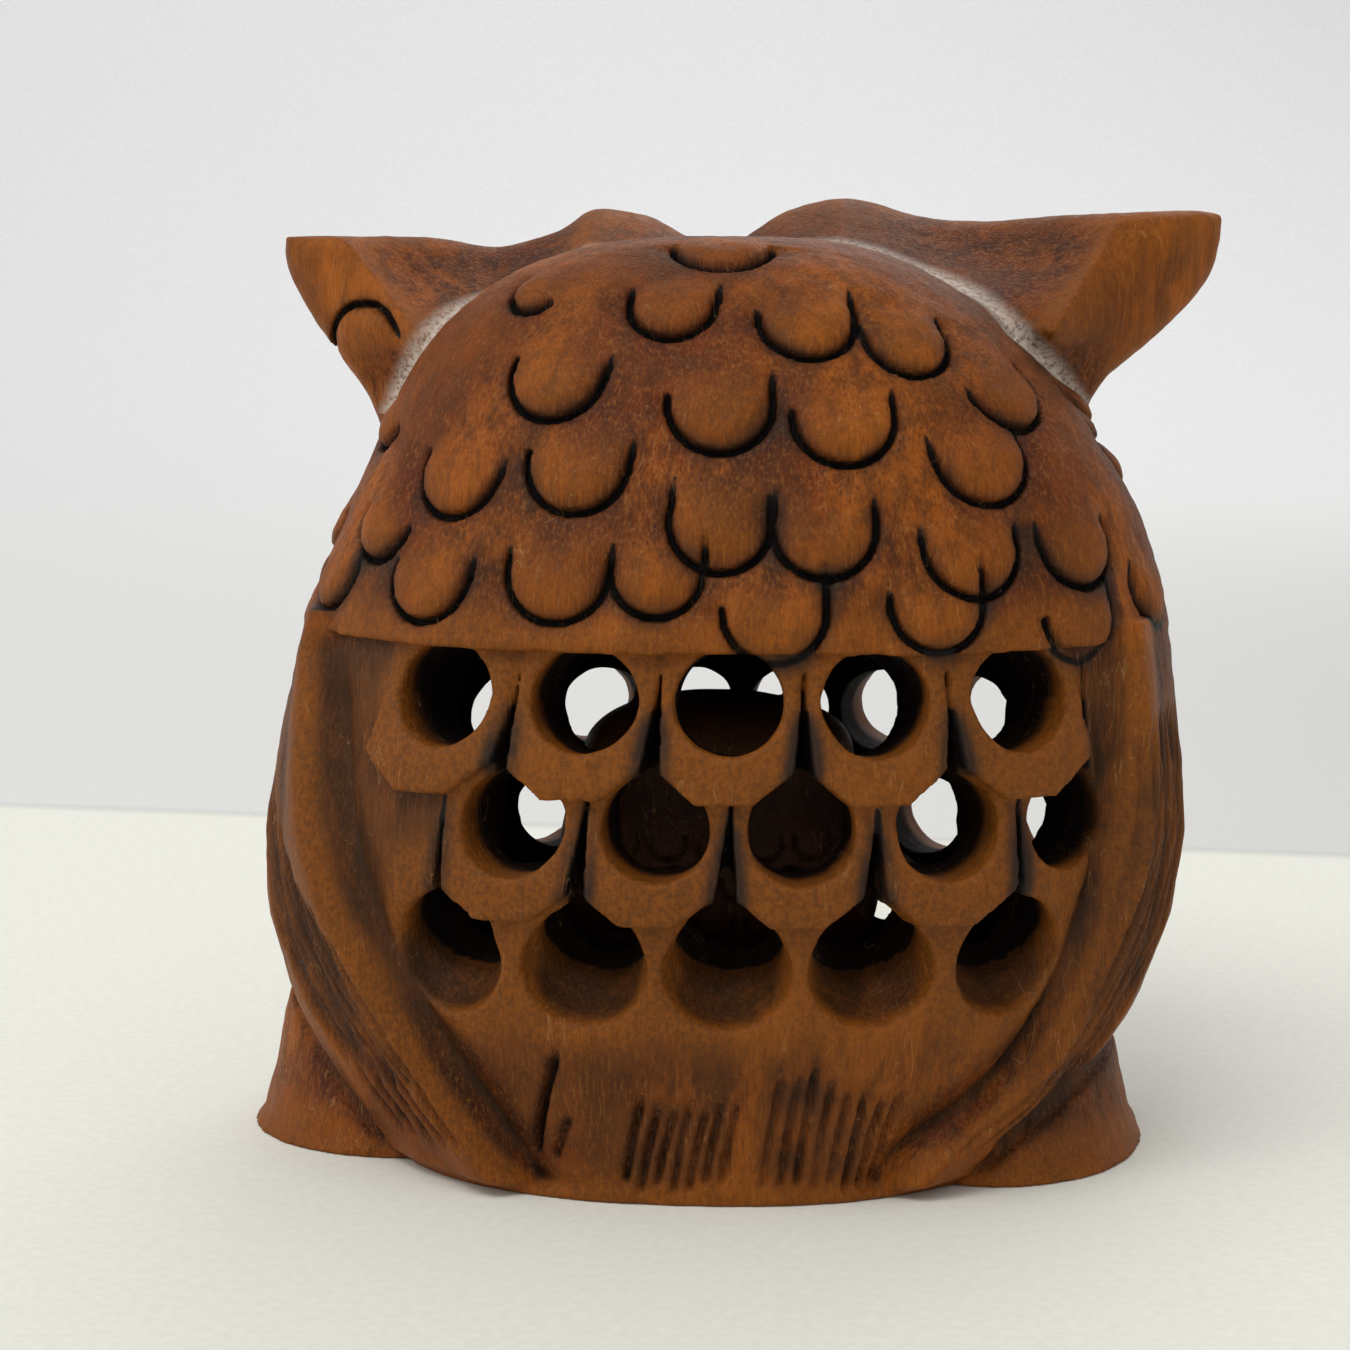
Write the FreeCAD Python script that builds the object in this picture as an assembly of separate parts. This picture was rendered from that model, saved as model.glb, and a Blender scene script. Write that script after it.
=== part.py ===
import FreeCAD, Part
import math
import os

# Carved wooden owl with a smaller loose owl cut free inside it, in millimetres.
# The origin is on the table under the middle of the owl, Z is up and the face looks to -Y.
# Two solids: the outer owl, one block with a drilled lattice round a cavity, and the owlet,
# which was cut free from the same block and stands loose on the cavity floor.

V = FreeCAD.Vector

# --- overall sizes -------------------------------------------------------------------
BODY_HALF = 47.3          # half-width of the barrel at its widest level
BACK = 33.0               # depth of the barrel behind the middle, at its widest level
FRONT = 28.5              # depth of the barrel in front of the middle
LEDGE_Z = 55.2            # underside of the feathered mantle
DOME_TOP = 95.0           # top of the head
LEAN_FOOT = 3.0           # the hand-cut body leans: its middle at the table is this far to +X
LEAN_RATE = 0.055         # and moves back towards -X by this much per mm of height
FACE_X = 1.5              # middle of the face
FULLNESS = 2.25           # outlines are superellipses of this power: fuller than an ellipse
DRAWN_HALF = 47.3         # the hand-drawn outlines of the head, wings and feet below belong to a
DRAWN_LEDGE = 55.2        # body of this half-width and to a head between these two levels; they
DRAWN_TOP = 95.0          # stretch with the sizes above

# --- lattice -------------------------------------------------------------------------
BORE = 10.4               # bores in the back
FRONT_BORE = 9.0          # bores in the chest
PITCH = 14.0              # spacing of the bores along a row of the back
FRONT_PITCH = 12.0        # spacing of the bores along a row of the chest
ROW_STEP = 12.0           # spacing of the rows
TOP_ROW_Z = 50.6          # first row of the back
FRONT_ROW_Z = 42.5        # first row of the chest
LATTICE_X = -0.4          # middle of the rows of bores
SLIT_W = 2.6              # lower width of the V slits between two scallops
SCALE_RISE = 1.2          # how far the lower edge of a scallop stands out

# --- cavity and owlet ----------------------------------------------------------------
FLOOR_Z = 17.0            # flat floor of the cavity
CAVITY_TOP = 58.0
CAVITY_HALF = 37.5
CAVITY_BACK = 23.5
CAVITY_FRONT = 20.5
OWLET_H = 32.0            # owlet from its flat base to its ear tips
OWLET_HALF = 17.0         # half-width of the owlet over its wings
OWLET_DEPTH = 12.0        # half-depth of the owlet
OWLET_X = 1.5             # where the owlet's upright axis stands
OWLET_Y = 1.5

PLATE_R = 105.0           # the face plate is bent to this radius
PLATE_T = 12.5            # thickness of the face plate in the middle
PLATE_BACK_R = 190.0      # its back is flatter, so the ears thin out to their tips
PLATE_LEAN = 5.0          # degrees that the face leans back
BROW_RISE = 2.0           # how far the brow stands out of the face


def middle(z):
    """Where the middle of the leaning body is at level z."""
    return LEAN_FOOT - LEAN_RATE * z


def wide(x):
    """A drawn sideways size, stretched to the body's width."""
    return x * BODY_HALF / DRAWN_HALF


def high(z):
    """A drawn level of the head, stretched to the head's height."""
    return LEDGE_Z + (z - DRAWN_LEDGE) * (DOME_TOP - LEDGE_Z) / (DRAWN_TOP - DRAWN_LEDGE)


def ring(z, half, back, front, n=FULLNESS, count=28, x0=None, y0=0.0):
    """Closed smooth outline at level z: rounder than a rectangle, fuller than an ellipse."""
    x0 = middle(z) if x0 is None else x0
    points = []
    for i in range(count):
        t = 2.0 * math.pi * i / count
        c, s = math.cos(t), math.sin(t)
        x = half * math.copysign(abs(c) ** (2.0 / n), c)
        depth = back if s > 0 else front
        y = depth * math.copysign(abs(s) ** (2.0 / n), s)
        points.append(V(x0 + x, y0 + y, z))
    curve = Part.BSplineCurve()
    curve.interpolate(Points=points, PeriodicFlag=True)
    return Part.Wire(curve.toShape())


def loft(levels, **where):
    """Solid through outlines given as (z, half-width, back, front)."""
    return Part.makeLoft([ring(*level, **where) for level in levels], True, False, False)


def spline_face(points, y, closed_by):
    """Face in the plane at depth y inside a spline through (x, z) points and a second spline."""
    edges = []
    for run in (points, closed_by):
        curve = Part.BSplineCurve()
        curve.interpolate([V(x, y, z) for x, z in run])
        edges.append(curve.toShape())
    return Part.Face(Part.Wire(edges))


def polygon_prism(points, y, length):
    """Prism along Y of a straight-sided outline in (x, z)."""
    corners = [V(x, y, z) for x, z in points]
    return Part.Face(Part.makePolygon(corners + corners[:1])).extrude(V(0, length, 0))


def ellipsoid(centre, rx, ry, rz):
    ball = Part.makeSphere(1.0)
    stretch = FreeCAD.Matrix()
    stretch.scale(rx, ry, rz)
    ball = ball.transformGeometry(stretch)
    ball.translate(centre)
    return ball


# --- the barrel ----------------------------------------------------------------------
# level, and half-width, back and front depth as parts of their largest values
BARREL = ((0.0, 0.76, 0.87, 0.88), (8.0, 0.87, 0.925, 0.94), (16.0, 0.95, 0.965, 0.98),
          (25.0, 0.985, 0.99, 1.0), (34.0, 1.0, 1.0, 1.0), (43.0, 0.975, 0.985, 0.99),
          (51.0, 0.945, 0.96, 0.97), (58.0, 0.915, 0.93, 0.94))


def barrel(grow=0.0):
    return loft([(z, BODY_HALF * a + grow, BACK * b + grow, FRONT * f + grow)
                 for z, a, b, f in BARREL])


def barrel_back(x, z):
    """Depth of the barrel's back surface at (x, z)."""
    for (z0, a0, b0, _), (z1, a1, b1, _) in zip(BARREL, BARREL[1:]):
        if z <= z1:
            t = (z - z0) / (z1 - z0)
            half, back = BODY_HALF * (a0 + (a1 - a0) * t), BACK * (b0 + (b1 - b0) * t)
            return back * (1.0 - abs((x - middle(z)) / half) ** FULLNESS) ** (1.0 / FULLNESS)


# --- mantle: the feathered dome that overhangs the lattice -----------------------------
MANTLE_HALF = BODY_HALF * 0.97
MANTLE_BACK = BACK * 1.006
mantle_levels = []
for z, k in ((DRAWN_LEDGE, 1.0), (60.0, 0.96), (66.0, 0.918), (72.0, 0.87), (78.0, 0.805)):
    mantle_levels.append((high(z), MANTLE_HALF * k, MANTLE_BACK * k ** 1.15, FRONT * k))
for degrees in (53.0, 62.0, 70.0, 77.0, 83.0, 87.5):
    rise, k = math.sin(math.radians(degrees)), math.cos(math.radians(degrees)) * 1.07
    mantle_levels.append((LEDGE_Z + (DOME_TOP - LEDGE_Z) * rise, MANTLE_HALF * k,
                          MANTLE_BACK * k, FRONT * k))
mantle = loft(mantle_levels)

# --- face plate with the two ears --------------------------------------------------------
# outline of the plate as (x, z); the two ears differ a little, as hand-cut ears do
ear_l, ear_r = (49.1, 94.9), (-52.0, 97.8)
under = [ear_r, (-51.2, 93.2), (-48.6, 88.6), (-44.5, 85.1), (-39.5, 80.8), (-36.0, 75.0), (-35.5, 69.0),
         (-30.0, 62.0), (-16.0, 57.0), (FACE_X, 55.6), (19.0, 57.0), (33.0, 62.0), (38.0, 69.0),
         (38.2, 75.0), (41.6, 80.6), (45.0, 84.7), (48.1, 89.6), (49.3, 92.9), ear_l]
over = [ear_l, (42.0, 95.0), (32.2, 94.8), (26.8, 94.2), (20.4, 96.0), (16.4, 98.4), (10.8, 97.6), (7.0, 95.6),
        (2.5, 94.0), (-1.4, 96.0), (-5.0, 98.2), (-10.7, 99.5), (-19.4, 97.6), (-27.0, 97.0), (-40.0, 97.7),
        ear_r]
plate = spline_face([(wide(x), high(z)) for x, z in under], -60.0,
                    [(wide(x), high(z)) for x, z in over]).extrude(V(0, 60, 0))
PLATE_Y = -FRONT - 0.5                       # front of the plate at the level of the eyes
lean_at = V(0, PLATE_Y, high(70.0))


def bent(radius, front):
    """Upright drum with its front at depth `front`, leaning back with the face."""
    drum = Part.makeCylinder(radius, 160.0, V(0, front + radius, -10.0), V(0, 0, 1))
    drum.rotate(lean_at, V(1, 0, 0), -PLATE_LEAN)
    return drum


plate = plate.common(bent(PLATE_R, PLATE_Y)).cut(bent(PLATE_BACK_R, PLATE_Y + PLATE_T))

# --- face: two ringed eyes, a beak and a brow that runs out to the ears ----------------------
EYE_X, EYE_Z = 16.5, high(76.5)
RING_R, EYE_R = 10.5, 5.2
rings, dishes, eyes = [], [], []
for side in (-1, 1):
    angle = math.asin(EYE_X / PLATE_R)
    front_y = PLATE_Y + PLATE_R * (1.0 - math.cos(angle))
    out = V(side * math.sin(angle), -math.cos(angle), math.tan(math.radians(PLATE_LEAN)))
    eye = V(FACE_X + side * EYE_X, front_y + (EYE_Z - lean_at.z) * math.tan(math.radians(PLATE_LEAN)), EYE_Z)
    rings.append(Part.makeCylinder(RING_R, 6.0, eye - out * 4.0, out))
    dishes.append(Part.makeCylinder(RING_R - 2.4, 4.0, eye - out * 0.8, out))
    eyes.append(ellipsoid(eye - out * 1.2, EYE_R, 3.6, EYE_R))
beak_root = PLATE_Y + 3.0
beak = Part.makeLoft([Part.makePolygon([V(FACE_X - w, beak_root, high(z)), V(FACE_X, beak_root - d, high(z)),
                                        V(FACE_X + w, beak_root, high(z)), V(FACE_X - w, beak_root, high(z))])
                      for w, z, d in ((2.4, 84.0, 3.0), (5.2, 74.0, 8.6), (1.0, 61.0, 4.4))], True, True)
brow_line = ((1.5, 79.0), (9.0, 87.0), (24.0, 90.0), (43.0, 93.2), (30.0, 93.6), (13.0, 93.5), (0.5, 87.5))
brow = [polygon_prism([(FACE_X + side * wide(x), high(z)) for x, z in brow_line], PLATE_Y - 3.0, 18.0)
        for side in (-1, 1)]
brow_form = bent(PLATE_R + BROW_RISE, PLATE_Y - BROW_RISE).cut(bent(PLATE_R - 4.0, PLATE_Y + 4.0))
brow = [piece.common(brow_form) for piece in brow]

# --- wings: long pads down both sides, tapering to the base ------------------------------------
wing_form = barrel(1.5)
wing_back = [(36.0, 56.0), (37.5, 46.0), (36.5, 34.0), (32.0, 21.0), (25.0, 9.0), (18.0, 1.5),
             (70.0, 1.5), (70.0, 56.0)]
wing_front = [(39.0, 56.0), (40.5, 44.0), (39.5, 32.0), (36.0, 20.0), (31.0, 10.0), (27.0, 1.5),
              (70.0, 1.5), (70.0, 56.0)]
wings = []
for side in (-1, 1):
    for outline, length in ((wing_back, 60.0), (wing_front, -60.0)):
        pad = polygon_prism([(middle(z) + side * wide(x), z) for x, z in outline], 0.0, length)
        wings.append(wing_form.common(pad))

# --- feet: two flared pads at the sides, three toes on each foot in front -----------------------
feet = []
for side, reach, heel in ((1, 52.2, 16.0), (-1, 44.5, 22.0)):
    rings_up = [ring(z, a, heel * b, f, x0=side * (wide(reach) - d), y0=-1.0)
                for z, d, a, b, f in ((0.0, 15.0, 15.0, 1.0, 21.0), (4.0, 15.6, 13.6, 0.94, 20.5),
                                      (9.0, 17.0, 11.6, 0.8, 18.0), (16.0, 18.5, 9.9, 0.6, 14.0))]
    feet.append(Part.makeLoft(rings_up, True, False, False))
    for i in (-1, 0, 1):
        toe = ellipsoid(V(LEAN_FOOT + side * 17.0 + 6.2 * i, -FRONT * 0.90, 0.0), 3.3, 6.0, 7.0)
        feet.append(toe)
tail = loft([(0.0, 30.0, BACK * 0.915, 5.0), (9.0, 27.0, BACK * 0.945, 5.0), (20.0, 20.0, BACK * 0.965, 5.0)])

# --- where the bores start and point -----------------------------------------------------------
back_holes = []
for row in range(3):
    offsets = (2, 1, 0, -1, -2) if row != 1 else (1.5, 0.5, -0.5, -1.5, -2.5)
    for offset in offsets:
        x = offset * PITCH + LATTICE_X
        if row == 1 and offset == -2.5:
            x += 1.5
        z = TOP_ROW_Z - row * ROW_STEP
        at = V(x, barrel_back(x, z), z)
        back_holes.append((row, at, (at - V(LATTICE_X, -20.0, (44.0, 38.0, 52.0)[row])).normalize()))
front_holes = []
for row in range(3):
    for i in range(7):
        x = LATTICE_X + ((i - 3.0) if row == 1 else (i - 2.5)) * FRONT_PITCH
        if (row != 1 and i == 6) or (row == 2 and i in (0, 5)):
            continue
        z = FRONT_ROW_Z - row * ROW_STEP
        y = -FRONT * (1.0 - abs((x - middle(z)) / BODY_HALF) ** FULLNESS) ** (1.0 / FULLNESS)
        at = V(x, y, z)
        front_holes.append((at, (at - V(LATTICE_X, 30.0, (44.0, 36.0, 48.0)[row])).normalize()))

# --- scallops: raised U plates round the bores of the first two rows ---------------------------
scale_form = barrel(SCALE_RISE)
scales = []
for row, at, _ in back_holes:
    if row < 2:
        w = PITCH / 2.0 - 0.15
        low = at.z - 10.2
        outline = [(at.x + dx * w, low + dz) for dx, dz in
                   ((-0.45, 0.0), (0.45, 0.0), (0.93, 4.2), (1.0, 8.0), (0.85, 15.0), (-0.85, 15.0),
                    (-1.0, 8.0), (-0.93, 4.2))]
        scales.append(scale_form.common(polygon_prism(outline, 0.0, 60.0)))

# --- everything that is cut away ------------------------------------------------------------------
cavity_levels = [(FLOOR_Z, 0.90), (FLOOR_Z + 8.0, 0.97), (36.0, 1.0), (46.0, 0.97), (53.0, 0.86),
                 (CAVITY_TOP, 0.66)]
cavity = loft([(z, CAVITY_HALF * k, CAVITY_BACK * k, CAVITY_FRONT * k) for z, k in cavity_levels])
cuts = [cavity]
for _, at, way in back_holes:
    cuts.append(Part.makeCylinder(BORE / 2.0, 26.0, at - way * 18.0, way))
for at, way in front_holes:
    cuts.append(Part.makeCylinder(FRONT_BORE / 2.0, 24.0, at - way * 16.0, way))
for row, at, _ in back_holes:
    if row < 2 and at.x > -30.0:
        x = at.x - PITCH / 2.0
        y = barrel_back(x, at.z)
        slit = [(x - 0.2, at.z + 2.5), (x + 0.2, at.z + 2.5), (x + SLIT_W / 2.0, at.z - 7.0),
                (x - SLIT_W / 2.0, at.z - 7.0)]
        cuts.append(polygon_prism(slit, y - 3.0, 12.0))

outer = barrel().multiFuse([mantle, plate, tail] + feet + wings + scales + rings + [beak] + brow)
table = Part.makeBox(200, 200, 40, V(-100, -100, -40))
outer = outer.cut([table] + cuts + dishes).multiFuse(eyes)
outer = max(outer.Solids, key=lambda solid: solid.Volume)

# --- owlet: stands on the cavity floor, free to turn ---------------------------------------------
OWLET_LEVELS = ((0.0, 0.80), (3.0, 0.90), (9.0, 1.0), (15.0, 0.98), (19.5, 0.86), (22.0, 0.82),
                (25.5, 0.85), (28.5, 0.72), (30.2, 0.46), (30.9, 0.16))
tall = OWLET_H / 32.0
body = loft([(FLOOR_Z + z * tall, OWLET_HALF * k, OWLET_DEPTH * k, OWLET_DEPTH * k)
             for z, k in OWLET_LEVELS], x0=OWLET_X, y0=OWLET_Y, n=2.1)
owlet_adds = []
for side in (-1, 1):
    ear = Part.makeCone(3.6, 0.8, 7.0, V(OWLET_X + side * 7.6, OWLET_Y - 2.0, FLOOR_Z + 25.0 * tall),
                        V(side * 0.42, -0.1, 1.0))
    owlet_adds.append(ear)
    eye = V(OWLET_X + side * 5.4, OWLET_Y - OWLET_DEPTH * 0.82, FLOOR_Z + 24.5 * tall)
    owlet_adds.append(ellipsoid(eye, 3.6, 2.0, 3.6))
    wing = V(OWLET_X + side * OWLET_HALF * 0.84, OWLET_Y, FLOOR_Z + 12.0 * tall)
    owlet_adds.append(ellipsoid(wing, 3.0, 8.0, 8.6))
owlet_adds.append(Part.makeCone(0.6, 2.2, 5.0, V(OWLET_X, OWLET_Y - OWLET_DEPTH * 0.80, FLOOR_Z + 18.5 * tall),
                                V(0, -0.12, 1.0)))
owlet = body.multiFuse(owlet_adds)
owlet = max(owlet.Solids, key=lambda solid: solid.Volume)

os.makedirs("parts", exist_ok=True)
for name, solid in (("outer_owl", outer), ("owlet", owlet)):
    solid.exportStep("parts/" + name + ".step")
    box = solid.BoundBox
    print(name, solid.isValid(), round(solid.Volume), [round(v, 1) for v in
          (box.XMin, box.XMax, box.YMin, box.YMax, box.ZMin, box.ZMax)])
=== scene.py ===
import math

import bpy
import numpy as np
from mathutils import Matrix, Vector


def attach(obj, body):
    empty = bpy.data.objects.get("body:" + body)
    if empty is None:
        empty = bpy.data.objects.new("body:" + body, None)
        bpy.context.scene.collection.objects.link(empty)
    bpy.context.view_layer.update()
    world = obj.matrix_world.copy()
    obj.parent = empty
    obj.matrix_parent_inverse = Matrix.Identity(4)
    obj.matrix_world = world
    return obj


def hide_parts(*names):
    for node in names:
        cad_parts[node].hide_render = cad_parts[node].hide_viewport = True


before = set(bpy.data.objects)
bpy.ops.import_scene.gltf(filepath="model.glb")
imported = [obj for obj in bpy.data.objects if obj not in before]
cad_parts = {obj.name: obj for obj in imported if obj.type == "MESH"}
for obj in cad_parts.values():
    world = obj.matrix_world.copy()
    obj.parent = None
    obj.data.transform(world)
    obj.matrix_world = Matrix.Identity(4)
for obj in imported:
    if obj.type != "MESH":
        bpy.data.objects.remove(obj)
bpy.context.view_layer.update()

# The owl is sculpted as a signed distance field in millimetres, in the CAD frame: the barrel, mantle,
# face plate and bores nearly as in the CAD solids, then the knife work that the CAD leaves out.
MM = 0.001
STEP = 0.36

# --- sizes as in the CAD, but for a mantle 0.5 mm smaller and a barrel narrower at its foot ----------
BODY_HALF, BACK, FRONT = 47.3, 33.0, 28.5
LEDGE_Z, DOME_TOP = 55.2, 95.0
MANTLE_HALF, MANTLE_BACK = 45.4, 32.7
BORE, FRONT_BORE, PITCH, FRONT_PITCH, ROW_STEP = 10.4, 9.0, 14.0, 12.0, 12.0
TOP_ROW_Z, FRONT_ROW_Z, LATTICE_X = 50.6, 42.5, -0.4
FLOOR_Z, CAVITY_TOP = 17.0, 58.0
CAVITY_HALF, CAVITY_BACK, CAVITY_FRONT = 37.5, 23.5, 20.5
OWLET_X, OWLET_Y, OWLET_HALF, OWLET_DEPTH = 1.5, 1.5, 17.0, 12.0
PLATE_R, PLATE_LEAN = 105.0, 5.0
PLATE_Y = -FRONT - 0.5
DOME_ROUND, DOME_RISE = 0.33, 1.15     # how full the dome is to the side and upwards
FAR_FROM_SEAM = 9.0
FACE_X, EYE_X, EYE_Z = 1.5, 16.5, 76.5
N = 2.25
BARREL = np.array([(0.0, 0.71, 0.87, 0.88), (8.0, 0.825, 0.925, 0.94), (16.0, 0.925, 0.965, 0.98),
                   (25.0, 0.985, 0.99, 1.0), (34.0, 1.0, 1.0, 1.0), (43.0, 0.975, 0.985, 0.99),
                   (51.0, 0.945, 0.96, 0.97), (58.0, 0.915, 0.93, 0.94)])


# --- small tools ----------------------------------------------------------------------------------
def smooth_between(x, lo, hi):
    t = np.clip((x - lo) / (hi - lo), 0.0, 1.0)
    return t * t * (3.0 - 2.0 * t)


def smin(a, b, k):
    t = np.clip(0.5 + 0.5 * (b - a) / k, 0.0, 1.0)
    return b * (1.0 - t) + a * t - k * t * (1.0 - t)


def smax(a, b, k):
    return -smin(-a, -b, k)


def from_outline(x, y, q):
    """Distance to a rounded outline, where q is 1 on the outline and grows in proportion outwards."""
    r = np.sqrt(x * x + y * y)
    return r - (r + 0.001) / np.maximum(q, 0.0001)


def fine_table(columns):
    """The section table read at every level, with its corners rounded off."""
    z = np.arange(-4.0, 112.0, 0.25)
    rows = [np.interp(z, columns[:, 0], columns[:, i]) for i in range(1, columns.shape[1])]
    kernel = np.hanning(25)
    kernel /= kernel.sum()
    return z, [np.convolve(np.pad(r, 12, mode="edge"), kernel, mode="valid") for r in rows]


def middle(z):
    return 3.0 - 0.055 * z


LEVEL, (HALF_K, BACK_K, FRONT_K) = fine_table(BARREL)


def barrel_sizes(z):
    return (BODY_HALF * np.interp(z, LEVEL, HALF_K), BACK * np.interp(z, LEVEL, BACK_K),
            FRONT * np.interp(z, LEVEL, FRONT_K))


def barrel_y(x, z, back=True):
    """Depth of the barrel's surface at (x, z)."""
    half, b, f = barrel_sizes(z)
    t = np.clip(np.abs((x - middle(z)) / half), 0.0, 0.999)
    return (b if back else -f) * (1.0 - t ** N) ** (1.0 / N)


def noise3(shape, step, scale, seed):
    """Smooth random field, about -1 to 1, with features of the given size in mm."""
    rng = np.random.default_rng(seed)
    coarse = [max(4, int(math.ceil(n * step / scale)) + 4) for n in shape]
    field = rng.uniform(-1.0, 1.0, coarse).astype(np.float32)
    for axis, n in enumerate(shape):
        at = np.arange(n) * step / scale + 1.0
        i = at.astype(int)
        t = (at - i).astype(np.float32)
        t = t * t * (3.0 - 2.0 * t)
        form = [1, 1, 1]
        form[axis] = n
        t = t.reshape(form)
        field = np.take(field, i, axis) * (1.0 - t) + np.take(field, i + 1, axis) * t
    return field


def box_blur(field, cells, passes=2):
    for _ in range(passes):
        for axis in range(3):
            pad = [(0, 0)] * 3
            pad[axis] = (cells + 1, cells)
            total = np.cumsum(np.pad(field, pad, mode="edge"), axis=axis, dtype=np.float32)
            n = field.shape[axis]
            high = np.take(total, np.arange(2 * cells + 1, 2 * cells + 1 + n), axis)
            low = np.take(total, np.arange(0, n), axis)
            field = (high - low) / (2 * cells + 1)
    return field


def spline(points, per=12):
    """Points along a smooth curve through the given ones."""
    p = np.array(points, float)
    p = np.vstack([2 * p[0] - p[1], p, 2 * p[-1] - p[-2]])
    out = []
    for i in range(1, len(p) - 2):
        for t in np.linspace(0.0, 1.0, per, endpoint=False):
            a, b, c, d = p[i - 1:i + 3]
            out.append(0.5 * (2 * b + (c - a) * t + (2 * a - 5 * b + 4 * c - d) * t * t
                              + (3 * b - a - 3 * c + d) * t ** 3))
    out.append(p[-2])
    return np.array(out)


def path_field(px, pz, path):
    """Distance to a polyline, how far along it (0 to 1) and on which side, for arrays px, pz."""
    best = np.full(np.broadcast(px, pz).shape, 1e9)
    along, side = np.zeros_like(best), np.zeros_like(best)
    lengths = np.hypot(*(path[1:] - path[:-1]).T)
    start = np.concatenate([[0.0], np.cumsum(lengths)])
    for i in range(len(path) - 1):
        ax, az = path[i]
        bx, bz = path[i + 1] - path[i]
        t = np.clip(((px - ax) * bx + (pz - az) * bz) / (bx * bx + bz * bz + 1e-12), 0.0, 1.0)
        dx, dz = px - ax - t * bx, pz - az - t * bz
        d = np.hypot(dx, dz)
        near = d < best
        best = np.where(near, d, best)
        along = np.where(near, (start[i] + t * lengths[i]) / start[-1], along)
        side = np.where(near, np.sign(bx * dz - bz * dx), side)
    return best, along, side


def outline_field(px, pz, outline):
    """Signed distance to a closed outline, negative inside."""
    d = path_field(px, pz, np.vstack([outline, outline[:1]]))[0]
    inside = np.zeros(d.shape, bool)
    for (ax, az), (bx, bz) in zip(outline, np.roll(outline, -1, axis=0)):
        crosses = (az > pz) != (bz > pz)
        inside ^= crosses & (px < (bx - ax) * (pz - az) / (bz - az + 1e-12) + ax)
    return np.where(inside, -d, d)


class Block:
    """A block of voxels to carve: d is the distance field, in mm, negative in the wood."""

    def __init__(self, low, high, step):
        self.step, self.low = step, np.array(low, float)
        counts = [int(math.ceil((b - a) / step)) + 1 for a, b in zip(low, high)]
        axes = [low[i] + step * np.arange(counts[i]) for i in range(3)]
        self.x = axes[0][:, None, None].astype(np.float32)
        self.y = axes[1][None, :, None].astype(np.float32)
        self.z = axes[2][None, None, :].astype(np.float32)
        self.shape = tuple(counts)
        self.d = np.full(self.shape, 99.0, np.float32)

    def window(self, centre, reach):
        """Slices of the voxels within reach of a point, and their coordinates."""
        reach = np.broadcast_to(reach, 3)
        cut = []
        for i in range(3):
            a = int(math.floor((centre[i] - reach[i] - self.low[i]) / self.step))
            b = int(math.ceil((centre[i] + reach[i] - self.low[i]) / self.step)) + 1
            cut.append(slice(max(a, 0), max(min(b, self.shape[i]), 0)))
        return tuple(cut), self.x[cut[0]], self.y[:, cut[1]], self.z[:, :, cut[2]]

    def sample(self, field, points):
        """Field read between the voxels at points in mm."""
        at = (points - self.low) / self.step
        i = np.clip(np.floor(at).astype(int), 0, np.array(self.shape) - 2)
        t = (at - i).astype(np.float32)
        total = np.zeros(len(points), np.float32)
        for corner in range(8):
            o = np.array([corner >> 2 & 1, corner >> 1 & 1, corner & 1])
            w = np.prod(np.where(o, t, 1.0 - t), axis=1)
            j = i + o
            total += w * field[j[:, 0], j[:, 1], j[:, 2]]
        return total

    def mesh(self):
        """Vertices in mm and quads of the surface where d is 0 (surface nets)."""
        d = self.d
        inside = d < 0.0
        total = np.zeros(tuple(n - 1 for n in self.shape) + (3,), np.float32)
        count = np.zeros(total.shape[:3], np.float32)
        quads = []
        crossings = []
        for axis in range(3):
            lower = [slice(None)] * 3
            upper = [slice(None)] * 3
            lower[axis], upper[axis] = slice(0, -1), slice(1, None)
            cross = np.argwhere(inside[tuple(lower)] != inside[tuple(upper)])
            a = d[tuple(cross.T)]
            ahead = cross.copy()
            ahead[:, axis] += 1
            b = d[tuple(ahead.T)]
            point = cross.astype(np.float32)
            point[:, axis] += a / (a - b)
            u, v = [(1, 2), (2, 0), (0, 1)][axis]
            cells = []
            for du, dv in ((0, 0), (-1, 0), (-1, -1), (0, -1)):
                cell = cross.copy()
                cell[:, u] += du
                cell[:, v] += dv
                cells.append(cell)
                ok = ((cell >= 0) & (cell < np.array(count.shape))).all(1)
                c = cell[ok]
                np.add.at(total, tuple(c.T), point[ok])
                np.add.at(count, tuple(c.T), 1.0)
            crossings.append((cells, a < 0.0))
        used = count > 0
        index = np.full(count.shape, -1, np.int64)
        index[used] = np.arange(int(used.sum()))
        vertices = total[used] / count[used][:, None]
        for cells, leaving in crossings:
            corners = np.stack([index[tuple(np.clip(c, 0, np.array(index.shape) - 1).T)] for c in cells], 1)
            flipped = corners[:, ::-1]
            quads.append(np.where(leaving[:, None], corners, flipped))
        quads = np.concatenate(quads)
        quads = quads[(quads >= 0).all(1)]
        return vertices * self.step + self.low, quads


# --- the outer owl: smooth forms ------------------------------------------------------------------
outer = Block((-55.0, -37.0, -2.0), (55.0, 37.0, 102.0), STEP)
X, Y, Z = outer.x, outer.y, outer.z
levels = Z.ravel()
half, back_d, front_d = barrel_sizes(levels)
mid = middle(levels)
XM = X - mid[None, None, :].astype(np.float32)
AX = np.abs(XM / half[None, None, :].astype(np.float32)) ** N
depth = np.where(Y > 0, back_d[None, None, :], front_d[None, None, :]).astype(np.float32)
AY = np.abs(Y / depth) ** N
rho = (AX + AY) ** np.float32(1.0 / N)
skin = from_outline(XM, Y, rho).astype(np.float32) * np.float32(0.96)

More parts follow.
